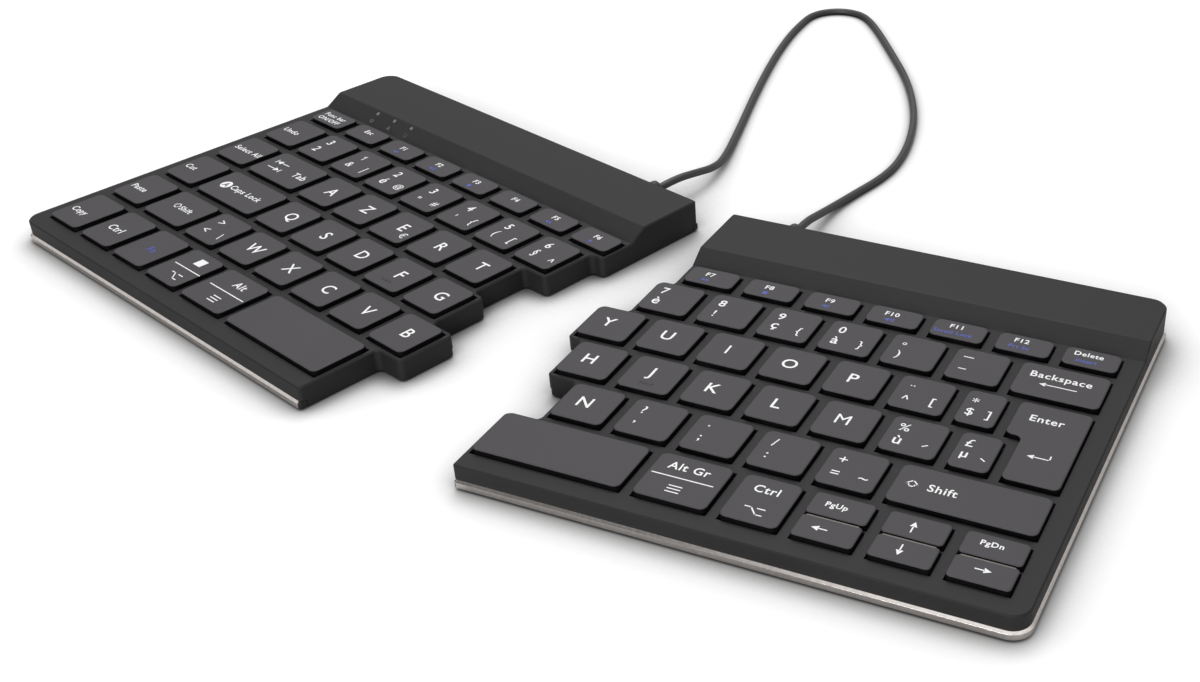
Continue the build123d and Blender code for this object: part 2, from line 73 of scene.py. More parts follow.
# A lens of about 48 mm stands in front of the right half, 0.25 m above the desk and turned
# 31 degrees to the left. Its picture is cut from the left part of a wider one, hence the shift.
camera_data = bpy.data.cameras.new("photo_camera")
camera = bpy.data.objects.new("photo_camera", camera_data)
bpy.context.collection.objects.link(camera)
camera.location = (0.28164, -0.31157, 0.25196)
camera.rotation_euler = (radians(57.5258), radians(-0.574), radians(30.5456))
camera_data.lens = 47.901
camera_data.sensor_width = 36
camera_data.shift_x = -0.22
camera_data.clip_start = 0.01
bpy.context.scene.camera = camera
bpy.context.scene.view_settings.view_transform = "Standard"


# One thin jacketed cord carries power and signals from half to half. It is moulded black PVC,
# held in a grommet at each end, and it lies on the desk in one loose loop behind the halves.
cord_diameter = 2.6 * mm
left_exit = (-18.33, 66.29, 7.6)
right_exit = (37.11, 65.35, 7.6)
cord_route = [
    left_exit, (-17.0, 74.0, 8.2), (-15.4, 84.0, 6.8), (-15.6, 93.5, 4.4),
    (-18.6, 104.5, 2.2), (-29.5, 130.0, 1.3), (-43.4, 162.0, 1.3), (-56.2, 194.5, 1.3),
    (-63.6, 217.5, 1.3), (-66.8, 232.2, 1.3), (-68.0, 241.5, 1.3), (-64.6, 249.5, 1.3),
    (-57.2, 254.0, 1.3), (-48.5, 253.2, 1.3), (-37.9, 244.4, 1.3), (-19.5, 225.0, 1.3),
    (2.0, 201.5, 1.3), (18.6, 177.0, 1.3), (29.0, 154.5, 1.3), (34.4, 136.0, 1.3),
    (35.2, 122.5, 1.3), (33.4, 108.5, 1.3), (32.6, 95.5, 1.9), (34.1, 83.0, 4.6),
    (36.04, 72.8, 7.4), right_exit,
]
cord_steps = 8
cord_sides = 5
ramp_ends = (0.3, 0.7)
patch_grains = 60
moulded_bump = 0.5


def metres(point):
    """A point given in millimetres, in the script's own metres."""
    return Vector(point) * mm


def linked(name, data):
    """A new object in the scene."""
    piece = bpy.data.objects.new(name, data)
    bpy.context.collection.objects.link(piece)
    return piece


def plain_mesh(source):
    """The finished mesh of an object, with its modifiers worked in."""
    graph = bpy.context.evaluated_depsgraph_get()
    return bpy.data.meshes.new_from_object(source.evaluated_get(graph))


def smooth_curve(name, points, radius):
    """A NURBS line through the route's points, as thick as radius."""
    data = bpy.data.curves.new(name, "CURVE")
    data.dimensions = "3D"
    data.resolution_u = cord_steps
    data.bevel_depth = radius
    data.bevel_resolution = cord_sides
    data.use_fill_caps = radius > 0
    spline = data.splines.new("NURBS")
    spline.points.add(len(points) - 1)
    for place, point in zip(spline.points, points):
        place.co = (*metres(point), 1)
    spline.order_u = 3
    spline.use_endpoint_u = True
    return linked(name, data)


def fill(tree, node, inputs):
    """Gives inputs of a node a value, a socket to follow, or a list of sockets."""
    for name, value in dict(inputs).items():
        for source in value if isinstance(value, list) else [value]:
            if isinstance(source, bpy.types.NodeSocket):
                tree.links.new(source, node.inputs[name])
            else:
                node.inputs[name].default_value = source


def wired(tree, kind, inputs=(), **settings):
    """The outputs of a new node with these settings and inputs."""
    node = tree.nodes.new(kind)
    for name, value in settings.items():
        setattr(node, name, value)
    fill(tree, node, inputs)
    return node.outputs


def grain(tree, place, scale, detail=3.0):
    """Fine noise on object coordinates, whose scale is in grains per metre."""
    inputs = {"Scale": scale, "Detail": detail, "Vector": place}
    return wired(tree, "ShaderNodeTexNoise", inputs)["Fac"]


def shaded_between(tree, factor, low, high):
    """A colour that runs from low to high with the factor."""
    shades = wired(tree, "ShaderNodeValToRGB", {"Fac": factor})
    ends = shades[0].node.color_ramp.elements
    for end, position, colour in zip(ends, ramp_ends, (low, high)):
        end.position = position
        end.color = (*colour, 1)
    return shades["Color"]


def span(tree, factor, low, high, start=0, end=1):
    """A value that runs from low to high while the factor runs from start to end."""
    inputs = {"Value": factor, "From Min": start, "From Max": end, "To Min": low, "To Max": high}
    return wired(tree, "ShaderNodeMapRange", inputs)["Result"]


def relief(tree, height, strength, depth):
    """The normals of a bump from a height field, its depth in metres."""
    inputs = {"Strength": strength, "Distance": depth, "Height": height}
    return wired(tree, "ShaderNodeBump", inputs)["Normal"]


def finish(name, make):
    """A node material whose shader gets the inputs that make gives for its tree and place."""
    material = bpy.data.materials.new(name)
    material.use_nodes = True
    tree = material.node_tree
    place = wired(tree, "ShaderNodeTexCoord")["Object"]
    fill(tree, tree.nodes["Principled BSDF"], make(tree, place))
    return material


def moulded(name, low, high, rough, grains, bump_depth, specular=0.5):
    """Moulded plastic or rubber: a fine even grain, slight unevenness of colour and gloss."""
    def surface(tree, place):
        broad = grain(tree, place, grains / patch_grains)
        return {
            "Base Color": shaded_between(tree, broad, low, high), "Roughness": span(tree, broad, *rough),
            "Normal": relief(tree, grain(tree, place, grains), moulded_bump, bump_depth),
            "Specular IOR Level": specular,
        }
    return finish(name, surface)


def finished_in(mesh, material):
    """Gives a mesh one material in place of its own."""
    mesh.materials.clear()
    mesh.materials.append(material)


cord_jacket = moulded(
    "cord_jacket", (0.016, 0.016, 0.017), (0.024, 0.023, 0.024), (0.42, 0.55), 2600, 0.03 * mm
)
centreline = smooth_curve("cord_centreline", cord_route, 0)
cord_path = [tuple(vertex.co) for vertex in plain_mesh(centreline).vertices]
bpy.data.objects.remove(centreline)
jacket_curve = smooth_curve("jacket_curve", cord_route, cord_diameter / 2)
joining_cord = linked("cord_between_halves", plain_mesh(jacket_curve))
bpy.data.objects.remove(jacket_curve)
finished_in(joining_cord.data, cord_jacket)
joining_cord.data.shade_smooth()
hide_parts("joining_cord")
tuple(cord_path[0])
blend_from = metres((-15.0, 95.0, 0.0))
blend_to = metres((31.0, 95.0, 0.0))
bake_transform(joining_cord)


# A white sweep under one broad soft light from above and behind, with a paler one in front.
# The sweep shows white to the eye of the camera and in gloss, and keeps the object's shadow from the lamps;
# near the object a painted shadow, taken from ambient occlusion, darkens it where camera and gloss rays see
# it.
sweep_reach = 4.0
sweep_colour = (0.82, 0.82, 0.82)
sweep_lift = 0.36
far_lift = 1.0
lift_grows = (0.4, 1.2)
# Reach and depth of the painted shadow round the object on the sweep.
shadow_reach = 36 * mm
shadow_strength = 1.8
sky_level = 0.3
sky_gloss_low = 0.3
sky_gloss_height = 0.6
dark_side = (-0.501, -0.601, 0.622)
dark_side_gloss = 0.2
dark_side_edge = 0.93
dark_side_heart = 0.975
lamps = [
    ("top_soft_light", (-0.35, 0.6, 1.3), (0, 0.02, 0), 1.0, 12.5),
    ("front_soft_light", (0.35, -1.35, 0.42), (0, 0, 0), 1.0, 18.0),
]


def maths(tree, operation, *values):
    """The result of one sum on numbers or sockets."""
    return wired(tree, "ShaderNodeMath", enumerate(values), operation=operation)[0]


def times(tree, value, factor):
    """A socket's value times a number or another socket's value."""
    return maths(tree, "MULTIPLY", value, factor)


def mixed(tree, factor, first, second, kind="FLOAT"):
    """The first value, or the second where the factor is 1."""
    inputs = {"A": first, "B": second, "Factor": factor}
    return wired(tree, "ShaderNodeMix", inputs, data_type=kind)["Result"]


def vector_work(tree, operation, inputs):
    """The outputs of one operation on vectors."""
    return wired(tree, "ShaderNodeVectorMath", inputs, operation=operation)


def axes(tree, vector):
    """The X, Y and Z of a vector."""
    return wired(tree, "ShaderNodeSeparateXYZ", {0: vector})


sweep_data = bpy.data.meshes.new("desk_sweep")
corners = [Vector(corner) * sweep_reach for corner in ((-1, -1, 0), (1, -1, 0), (1, 1, 0), (-1, 1, 0))]
sweep_data.from_pydata(corners, [], [(0, 1, 2, 3)])
sweep = linked("desk_sweep", sweep_data)
paper = bpy.data.materials.new("white_sweep")
paper.use_nodes = True
tree = paper.node_tree
tree.nodes.remove(tree.nodes["Principled BSDF"])
rays = wired(tree, "ShaderNodeLightPath")
# Painted shadow: ambient occlusion darkens the sweep's colour near the object, for camera and gloss rays
# only.
painted_shadow_ao = wired(tree, "ShaderNodeAmbientOcclusion", {"Distance": shadow_reach})["AO"]
painted_shadow_depth = maths(tree, "POWER", painted_shadow_ao, shadow_strength)
looked_at = maths(tree, "MAXIMUM", rays["Is Camera Ray"], rays["Is Glossy Ray"])
shade = mixed(tree, looked_at, 1, painted_shadow_depth)
shaded = vector_work(tree, "SCALE", {0: sweep_colour, "Scale": shade})[0]
away = vector_work(tree, "LENGTH", {0: wired(tree, "ShaderNodeTexCoord")["Object"]})["Value"]
growing = span(tree, away, sweep_lift, far_lift, *lift_grows)
seen = times(tree, rays["Is Camera Ray"], painted_shadow_depth)
matte = wired(tree, "ShaderNodeBsdfDiffuse", {"Color": shaded})[0]
lift = wired(tree, "ShaderNodeEmission", {"Strength": times(tree, seen, growing)})[0]
both = wired(tree, "ShaderNodeAddShader", {0: matte, 1: lift})[0]
fill(tree, tree.nodes["Material Output"], {"Surface": both})
sweep_data.materials.append(paper)

world = bpy.data.worlds.new("studio")
bpy.context.scene.world = world
world.use_nodes = True
tree = world.node_tree
rays = wired(tree, "ShaderNodeLightPath")
direction = wired(tree, "ShaderNodeTexCoord")["Generated"]
gloss = span(tree, axes(tree, direction)["Z"], sky_gloss_low, 1, 0, sky_gloss_height)
facing_dark = vector_work(tree, "DOT_PRODUCT", {0: direction, 1: dark_side})["Value"]
dimming = span(tree, facing_dark, 1, dark_side_gloss, dark_side_edge, dark_side_heart)
in_gloss = mixed(tree, rays["Is Glossy Ray"], sky_level, times(tree, gloss, dimming))
in_view = mixed(tree, rays["Is Camera Ray"], in_gloss, 1)
fill(tree, tree.nodes["Background"], {"Color": (1, 1, 1, 1), "Strength": in_view})

for name, place, aim, side, power in lamps:
    lamp_data = bpy.data.lights.new(name, "AREA")
    lamp_data.shape = "DISK"
    lamp_data.size = side
    lamp_data.energy = power
    lamp = linked(name, lamp_data)
    lamp.location = place
    lamp.rotation_euler = (Vector(aim) - Vector(place)).to_track_quat("-Z", "Y").to_euler()


# Each half has one injection-moulded ABS top with a fine matte grain: the deck with an opening
# for every key, the stepped inner side, and the raised rear bar with its sloping front.
desks = {
    "left": Matrix.Translation(metres((-32.8826, -52.0713, 0))) @ Matrix.Rotation(radians(-8.787), 4, "Z"),
    "right": Matrix.Translation(metres((36.2427, -55.4015, 0))) @ Matrix.Rotation(radians(8.787), 4, "Z"),
}
case_edge = 0.16 * mm
case_edge_segments = 2
facet_angle = radians(24)
weld_distance = 0.002 * mm
flat_angle = radians(0.6)
moulded_crease = 32

case_plastic = moulded(
    "case_plastic", (0.0125, 0.012, 0.0123), (0.016, 0.0155, 0.0158), (0.5, 0.6), 2200, 0.035 * mm, 0.2
)


def stands_for(piece, node):
    """Hangs a finished piece on its node's body, in the node's place."""
    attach(piece, nodes[node]["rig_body"])
    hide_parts(node)


def settle(piece):
    """Works a piece's modifiers into its mesh."""
    piece.data = plain_mesh(piece)
    piece.modifiers.clear()


def smoothed(mesh, crease):
    """Shades a mesh smooth, but for edges sharper than the crease in degrees."""
    mesh.shade_smooth()
    mesh.set_sharp_from_angle(angle=radians(crease))


def softened(node, name, width, segments, material):
    """A merged copy of a solid, its moulded edges rounded off."""
    mesh = nodes[node].data.copy()
    shape = bmesh.new()
    shape.from_mesh(mesh)
    bmesh.ops.remove_doubles(shape, verts=shape.verts, dist=weld_distance)
    bmesh.ops.dissolve_limit(shape, angle_limit=flat_angle, verts=shape.verts, edges=shape.edges)
    shape.to_mesh(mesh)
    shape.free()
    piece = linked(name, mesh)
    bevel = piece.modifiers.new("edges", "BEVEL")
    bevel.limit_method = "ANGLE"
    bevel.angle_limit = facet_angle
    bevel.width = width
    bevel.segments = segments
    bevel.use_clamp_overlap = True
    settle(piece)
    finished_in(piece.data, material)
    smoothed(piece.data, moulded_crease)
    even = piece.modifiers.new("shading", "WEIGHTED_NORMAL")
    even.keep_sharp = True
    settle(piece)
    stands_for(piece, node)
    return piece


for half in desks:
    softened(
        half + "_top_case", half + "_moulded_top", case_edge, case_edge_segments,
        case_plastic,
    )


# A pressed and milled aluminium base closes each half from below. Its border stands up round
# the three plain sides, with a diamond-cut bevel polished bright. The rest is satin on the real
# plate, but here the whole plate takes the one bright metal.
plate_edge = 0.08 * mm
streak_detail = 2.0
streak_bump = (0.15, 0.01 * mm)
inner_end_facing = 0.3


def bare_metal(name, low, high, rough, grains, stretch=(1, 1, 1)):
    """Bare or plated metal with fine streaks, drawn out along the axes where stretch is low."""
    def surface(tree, place):
        run = wired(tree, "ShaderNodeMapping", {"Scale": stretch, "Vector": place})[0]
        streaks = grain(tree, run, grains, streak_detail)
        return {
            "Base Color": shaded_between(tree, streaks, low, high), "Metallic": 1,
            "Roughness": span(tree, streaks, *rough), "Normal": relief(tree, streaks, *streak_bump),
        }
    return finish(name, surface)


rim_metal = bare_metal("bright_metal", (0.7, 0.65, 0.62), (0.8, 0.76, 0.73), (0.08, 0.16), 900)
for half, sense in zip(desks, (1, -1)):
    base = softened(half + "_base_plate", half + "_metal_base", plate_edge, 2, rim_metal)
    base.data.materials.append(case_plastic)
    # Faces of the plate that face the inner side take the case plastic's near black, as painted shade under
    # the stepped skirt.
    inwards = desks[half].to_3x3() @ Vector((sense, 0, 0))
    for face in base.data.polygons:
        if face.normal.dot(inwards) > inner_end_facing:
            face.material_index = 1


# Low square-shouldered caps, moulded in black and coated charcoal on top, 88 of them on a
# 19 mm grid. Their sides are coloured near black: partly the black plastic, partly painted shade.
# One tree makes each cap from its width and depth; the stepped Enter has its own.
pitch = 19.0 * mm
key_gap = 3.4 * mm
key_width = pitch - key_gap
field_reach = 7.25 * pitch
narrow_cell = 14.5 * mm
wide_cell = 1.25 * pitch
stagger = {"n": 0.0, "h": 0.5 * pitch, "y": 0.75 * pitch, "d": 0.25 * pitch}
f_width = 16.0 * mm
f_depth = 9.0 * mm
f_end_inset = 0.6 * mm
bottom_depth = 17.8 * mm
half_key_gap = 0.66 * mm
space_reach = 10.0 * mm
cap_bottom = 6.2 * mm
cap_top = 9.0 * mm
cap_corner = 1.9 * mm
half_cap_corner = 1.2 * mm
cap_shoulder = 0.42 * mm
cap_flat_margin = 0.08 * mm
corner_segments = 6
bottom_line = -key_gap - bottom_depth
half_cap_depth = (bottom_depth - half_key_gap) / 2
f_front = 4 * pitch
enter_left = -stagger["h"] + 6 * pitch + narrow_cell
shoulder_turns = (0, pi / 6, pi / 3, pi / 2)
top_facing = 0.5
cap_weld = 0.001 * mm

cap_top_coat = moulded(
    "cap_top_coat", (0.055, 0.051, 0.057), (0.062, 0.058, 0.064), (0.52, 0.62), 3000, 0.02 * mm, 0.22
)
# The sides' near-black colour is partly painted shade, darker than the plastic because little light reaches
# them.
cap_side_black = moulded(
    "cap_side_black", (0.002, 0.002, 0.002), (0.004, 0.004, 0.004), (0.5, 0.6), 3000, 0.02 * mm, 0.03
)


def row_of_keys(x, y, depth, cells):
    """Keys of one row from x on, as (body, x0, x1, y0, y1), from their cells."""
    keys = []
    for body, cell in cells:
        keys.append((body, x, x + cell - key_gap, y, y + depth))
        x += cell
    return keys


def spread_keys(x0, x1, body, count):
    """Function keys of one width, spread evenly from x0 to x1."""
    step = (x1 - x0 - f_width) / (count - 1)
    starts = [x0 + index * step for index in range(count)]
    return [(body, x, x + f_width, f_front, f_front + f_depth) for x in starts]


def letter_cells(text):
    """One cell of the grid for each letter key."""
    return [("key_" + letter, pitch) for letter in text]


def left_field():
    """The 44 keys of the left half, row by row."""
    controls, numbers = "left_control_keys", "left_number_keys"
    side = -field_reach + pitch
    space_cell = key_width - space_reach + key_gap - (side + 3 * pitch + wide_cell)
    keys = row_of_keys(-field_reach, bottom_line, bottom_depth, [(controls, pitch)])
    for row in range(4):
        keys += row_of_keys(-field_reach, row * pitch, key_width, [(controls, pitch)])
    rows = (
        [("key_shift_left", -5 * pitch - side), (numbers, pitch)] + letter_cells("wxcvb"),
        [(controls, -4.5 * pitch - side)] + letter_cells("qsdfg"),
        [(controls, -4.75 * pitch - side)] + letter_cells("azert"),
    )
    for row, cells in enumerate(rows):
        keys += row_of_keys(side, row * pitch, key_width, cells)
    keys += row_of_keys(-6.25 * pitch, 3 * pitch, key_width, [(numbers, pitch)] * 7)
    bottom_cells = [(controls, pitch)] * 3 + [(controls, wide_cell), ("key_space_left", space_cell)]
    keys += row_of_keys(side, bottom_line, bottom_depth, bottom_cells)
    return keys + spread_keys(-field_reach, key_width + f_end_inset, "left_function_keys", 8)


def right_field():
    """The keys of the right half, row by row, apart from the stepped Enter."""
    controls, numbers = "right_control_keys", "right_number_keys"
    last_two = [(numbers, pitch), (numbers, narrow_cell)]
    rows = (
        letter_cells("n") + [(numbers, pitch)] * 4 + [("key_shift_right", field_reach - 5 * pitch)],
        letter_cells("hjklm") + last_two,
        letter_cells("yuiop") + last_two,
        [(numbers, pitch)] * 6 + [("key_backspace", field_reach + stagger["d"] - 6 * pitch)],
    )
    keys = []
    for row, (shift, cells) in enumerate(zip(stagger.values(), rows)):
        keys += row_of_keys(-shift, row * pitch, key_width, cells)
    f_keys = spread_keys(f_end_inset, field_reach - key_gap, "right_function_keys", 7)
    space_cell = f_keys[-3][1] - pitch - wide_cell + space_reach
    bottom_cells = [("key_space_right", space_cell), (controls, wide_cell), (controls, pitch)]
    keys += row_of_keys(-space_reach, bottom_line, bottom_depth, bottom_cells)
    for key in f_keys[-3:]:
        keys.append((controls, key[1], key[2], -key_gap - half_cap_depth, -key_gap))
        keys.append((controls, key[1], key[2], bottom_line, bottom_line + half_cap_depth))
    return keys + f_keys


def piece_tree(name, **inputs):
    """An empty geometry tree with inputs named by kind, and the sockets that they give."""
    tree = bpy.data.node_groups.new(name, "GeometryNodeTree")
    tree.interface.new_socket("Geometry", in_out="OUTPUT", socket_type="NodeSocketGeometry")
    for kind, labels in inputs.items():
        for label in labels:
            tree.interface.new_socket(label, in_out="INPUT", socket_type="NodeSocket" + kind)
    return tree, tree.nodes.new("NodeGroupInput").outputs


def real_in(tree, shape, material):
    """A tree's shape made real, in one material."""
    real = wired(tree, "GeometryNodeRealizeInstances", {"Geometry": shape})[0]
    return wired(tree, "GeometryNodeSetMaterial", {"Geometry": real, "Material": material})[0]


def made_by(tree, points, values):
    """The plain mesh that a geometry tree makes at some points from these values."""
    data = bpy.data.meshes.new("blank")
    data.from_pydata(points, [], [])
    blank = linked("blank", data)
    maker = blank.modifiers.new("maker", "NODES")
    maker.node_group = tree
    for item in tree.interface.items_tree:
        if item.name in values:
            maker[item.identifier] = values[item.name]
    mesh = plain_mesh(blank)
    bpy.data.objects.remove(blank)
    return mesh


def cap_tree():
    """Geometry nodes for one moulded cap on a rounded rectangle, centred on its own middle."""
    sizes = ("Width", "Depth", "Height", "Corner", "Shoulder", "Margin")
    tree, given = piece_tree("moulded_cap", Float=sizes, Material=("Coat", "Body"))
    sides = {"Width": given["Width"], "Height": given["Depth"]}
    outline = wired(tree, "GeometryNodeCurvePrimitiveQuadrilateral", sides)[0]
    corners = {"Curve": outline, "Count": corner_segments, "Radius": given["Corner"]}
    rounded = wired(tree, "GeometryNodeFilletCurve", corners, mode="POLY")[0]
    foot = wired(tree, "GeometryNodeFillCurve", {"Curve": rounded}, mode="NGONS")[0]
    place = axes(tree, wired(tree, "GeometryNodeInputPosition")[0])
    inward = {axis: maths(tree, "SIGN", place[axis]) for axis in "XY"}
    inward = wired(tree, "ShaderNodeCombineXYZ", inward)[0]
    shoulder = given["Shoulder"]
    steps = [(maths(tree, "SUBTRACT", given["Height"], shoulder), None)]
    for low, high in zip(shoulder_turns, shoulder_turns[1:]):
        rise = times(tree, shoulder, sin(high) - sin(low))
        steps.append((rise, times(tree, shoulder, cos(high) - cos(low))))
    steps.append((0, times(tree, given["Margin"], -1)))
    body, top = foot, True
    for rise, inset in steps:
        step = {"Mesh": body, "Selection": top, "Individual": False, "Offset Scale": rise}
        grown = wired(tree, "GeometryNodeExtrudeMesh", step, mode="FACES")
        body, top = grown["Mesh"], grown["Top"]
        if inset is not None:
            shift = vector_work(tree, "SCALE", {0: inward, "Scale": inset})[0]
            step = {"Geometry": body, "Selection": top, "Offset": shift}
            body = wired(tree, "GeometryNodeSetPosition", step)[0]
    underside = wired(tree, "GeometryNodeFlipFaces", {"Mesh": foot})[0]
    closed = wired(tree, "GeometryNodeJoinGeometry", {"Geometry": [body, underside]})[0]
    sealed = wired(tree, "GeometryNodeMergeByDistance", {"Geometry": closed, "Distance": cap_weld})[0]
    # Faces that face up take the coat; all others take the side colour, which is partly painted shade.
    dark = real_in(tree, sealed, given["Body"])
    facing = axes(tree, wired(tree, "GeometryNodeInputNormal")[0])["Z"]
    limits = {"A": facing, "B": top_facing}
    flat = wired(tree, "FunctionNodeCompare", limits, data_type="FLOAT", operation="GREATER_THAN")
    coated = {"Geometry": dark, "Selection": flat["Result"], "Material": given["Coat"]}
    wired(tree, "NodeGroupOutput", {"Geometry": wired(tree, "GeometryNodeSetMaterial", coated)[0]})
    return tree


moulded_cap = cap_tree()


def cap_mesh(width, depth):
    """The mesh of one cap, its middle at zero and its foot at the cap's lower face."""
    return made_by(moulded_cap, [], {
        "Width": width, "Depth": depth, "Height": cap_top - cap_bottom,
        "Corner": cap_corner if depth > half_cap_depth else half_cap_corner,
        "Shoulder": cap_shoulder, "Margin": cap_flat_margin,
        "Coat": cap_top_coat, "Body": cap_side_black,
    })


def rounded_loop(corners, radius, inset):
    """A closed outline, drawn against the clock, with round corners and moved in by inset."""
    points = []
    count = len(corners)
    for index, corner in enumerate(corners):
        here = Vector(corner)
        arriving = (here - Vector(corners[index - 1])).normalized()
        leaving = (Vector(corners[(index + 1) % count]) - here).normalized()
        out = 1 if arriving.cross(leaving) > 0 else -1
        centre = here + (leaving - arriving) * radius
        reach = radius - out * inset
        start = Vector((arriving.y, -arriving.x)) * out
        end = Vector((leaving.y, -leaving.x)) * out
        for step in range(corner_segments + 1):
            share = step / corner_segments * pi / 2
            points.append(centre + (start * cos(share) + end * sin(share)) * reach)
    return points


def shell(rings):
    """A new shape skinned over loops of points, and closed flat at both ends."""
    shape = bmesh.new()
    loops = [[shape.verts.new(point) for point in ring] for ring in rings]
    for low, high in zip(loops, loops[1:]):
        for index in range(len(low)):
            after = (index + 1) % len(low)
            shape.faces.new((low[index], low[after], high[after], high[index]))
    shape.faces.new(loops[-1])
    shape.faces.new(loops[0][::-1])
    return shape


def mesh_from(shape, name, *materials):
    """The mesh of a finished shape, in these materials."""
    mesh = bpy.data.meshes.new(name)
    shape.to_mesh(mesh)
    shape.free()
    for material in materials:
        mesh.materials.append(material)
    return mesh


def enter_mesh():
    """The stepped Enter cap, built up in loops, in the desk plane of the right half."""
    top_left = -stagger["y"] + 6 * pitch + narrow_cell
    right_x, high = field_reach - key_gap, 2 * pitch + key_width
    corners = [
        (enter_left, pitch), (right_x, pitch), (right_x, high), (top_left, high),
        (top_left, 2 * pitch), (enter_left, 2 * pitch),
    ]
    levels = [(0, cap_bottom)]
    for angle in shoulder_turns:
        levels.append((cap_shoulder * (1 - cos(angle)), cap_top - cap_shoulder * (1 - sin(angle))))
    levels.append((cap_shoulder + cap_flat_margin, cap_top))
    rings = []
    for inset, height in levels:
        rings.append([(*point, height) for point in rounded_loop(corners, cap_corner, inset)])
    shape = shell(rings)
    # Faces that face up take the top coat; the rest take the side colour, which is partly painted shade.
    for face in shape.faces:
        face.normal_update()
        face.material_index = 0 if face.normal.z > top_facing else 1
    return mesh_from(shape, "enter_cap", cap_top_coat, cap_side_black)


# White and blue ink is printed on the coat, some hundredths of a millimetre thick: letters,
# signs and plain function words on a French layout, with arrows and small pictures.
ink_lift = 0.03 * mm
letter_height = 4.45
sign_height = 3.4
word_height = 2.4
small_height = 2.1
stroke_width = 0.38 * mm
type_height_share = 0.73
type_spacing = 1.1
type_weight = 0.06 * mm
sign_weight = 0.02 * mm
filled_share = 0.8

ink_white, ink_grey, ink_blue = [
    moulded("ink_" + name, low, high, (0.45, 0.55), 2500, 0.01 * mm) for name, low, high in (
        ("white", (0.9, 0.9, 0.9), (0.95, 0.95, 0.95)),
        ("grey", (0.085, 0.085, 0.085), (0.1, 0.1, 0.1)),
        ("blue", (0.045, 0.07, 0.36), (0.055, 0.085, 0.42)),
    )
]


def type_mesh(text, height, weight):
    """The flat mesh of a word, with its strokes made heavier by weight on each side."""
    data = bpy.data.curves.new("type", "FONT")
    data.body = text
    data.size = height * mm / type_height_share
    data.resolution_u = 3
    data.fill_mode = "FRONT"
    data.space_character = type_spacing
    data.offset = weight
    source = linked("type", data)
    mesh = plain_mesh(source)
    bpy.data.objects.remove(source)
    return mesh


def box_middle(points):
    """The middle of the points' box, seen from above."""
    return [(min(axis) + max(axis)) / 2 for axis in list(zip(*points))[:2]]


def text_shape(text, height):
    """The faces of a word or sign about its middle, in heavier type where it stays open."""
    heavy = text.isalnum() or len(text) > 2
    mesh = type_mesh(text, height, type_weight if heavy else sign_weight)
    corners = [tuple(vertex.co) for vertex in mesh.vertices]
    width, rise = [max(axis) - min(axis) for axis in list(zip(*corners))[:2]]
    inked = sum(face.area for face in mesh.polygons)
    if len(text) == 1 and text.isalpha() and inked > filled_share * (width * rise):
        mesh = type_mesh(text, height, 0)
    middle = Vector(box_middle(corners))
    points = [Vector(vertex.co[:2]) - middle for vertex in mesh.vertices]
    return points, [tuple(face.vertices) for face in mesh.polygons], width / 2


def bars(*strokes):
    """Straight strokes of one width, each from (x0, y0) to (x1, y1) in millimetres."""
    points, faces = [], []
    for x0, y0, x1, y1 in strokes:
        start, end = Vector((x0, y0)) * mm, Vector((x1, y1)) * mm
        along = (end - start).normalized() * stroke_width / 2
        across = Vector((-along.y, along.x))
        faces.append(tuple(range(len(points), len(points) + 4)))
        points += [start - along - across, end + along - across]
        points += [end + along + across, start - along + across]
    return points, faces, 0


def outlined(corners):
    """Strokes along a closed outline."""
    return bars(*[(*start, *end) for start, end in zip(corners, corners[1:] + corners[:1])])


def patches(*outlines):
    """Filled shapes, each a list of corners in millimetres, against the clock."""
    points, faces = [], []
    for outline in outlines:
        faces.append(tuple(range(len(points), len(points) + len(outline))))
        points += [Vector(corner) * mm for corner in outline]
    return points, faces, 0


def together(*shapes):
    """Several shapes as one."""
    points, faces = [], []
    for shape in shapes:
        faces += [tuple(index + len(points) for index in face) for face in shape[1]]
        points += shape[0]
    return points, faces, 0


def turned(shape, angle):
    """A shape turned about its middle, against the clock."""
    spin = Matrix.Rotation(radians(angle), 2)
    return [spin @ point for point in shape[0]], shape[1], shape[2]


def raised(shape, rise):
    """A shape moved up by a rise in millimetres."""
    return [point + Vector((0, rise)) * mm for point in shape[0]], shape[1], shape[2]


def arrow(length, head=0.95, tail=0.0):
    """An arrow to the left, length in millimetres, with an optional riser at its right end."""
    reach = length / 2
    neck = -reach + 2 * head
    shapes = [bars((neck, 0, reach, 0)), patches([(-reach, 0), (neck, -head), (neck, head)])]
    if tail:
        shapes.append(bars((reach, 0, reach, tail)))
    return together(*shapes)


def round_outline(radius, sides):
    """The corners of a round outline, radius in millimetres."""
    turns = [2 * pi * index / sides for index in range(sides)]
    return [(radius * cos(turn), radius * sin(turn)) for turn in turns]


shift_arrow = outlined([
    (-0.75, -1.0), (0.75, -1.0), (0.75, 0.0), (1.5, 0.0), (0.0, 1.45), (-1.5, 0.0), (-0.75, 0.0),
])
step_sign = bars(
    (-2.6, 1.2, -1.0, 1.2), (-1.0, 1.2, 1.0, -1.2), (1.0, -1.2, 2.6, -1.2), (0.7, 1.2, 2.6, 1.2),
)
menu_sign = bars((-1.7, 1.2, 1.7, 1.2), (-1.7, 0, 1.7, 0), (-1.7, -1.2, 1.7, -1.2))
tile_sign = patches([(-1.7, -1.7), (1.7, -1.7), (1.7, 1.7), (-1.7, 1.7)])
tab_arrow = arrow(6.0, 1.1)
tab_sign = together(
    raised(tab_arrow, 2.0), bars((-3.4, 1.1, -3.4, 2.9)),
    raised(turned(tab_arrow, 180), -2.0), bars((3.4, -2.9, 3.4, -1.1)),
)
speaker = patches([(-1.1, -0.35), (-0.5, -0.35), (0.2, -0.9), (0.2, 0.9), (-0.5, 0.35), (-1.1, 0.35)])
louder = together(speaker, bars((0.8, -0.5, 0.8, 0.5), (1.5, -0.8, 1.5, 0.8)))
softer = together(speaker, bars((0.8, -0.5, 0.8, 0.5)))
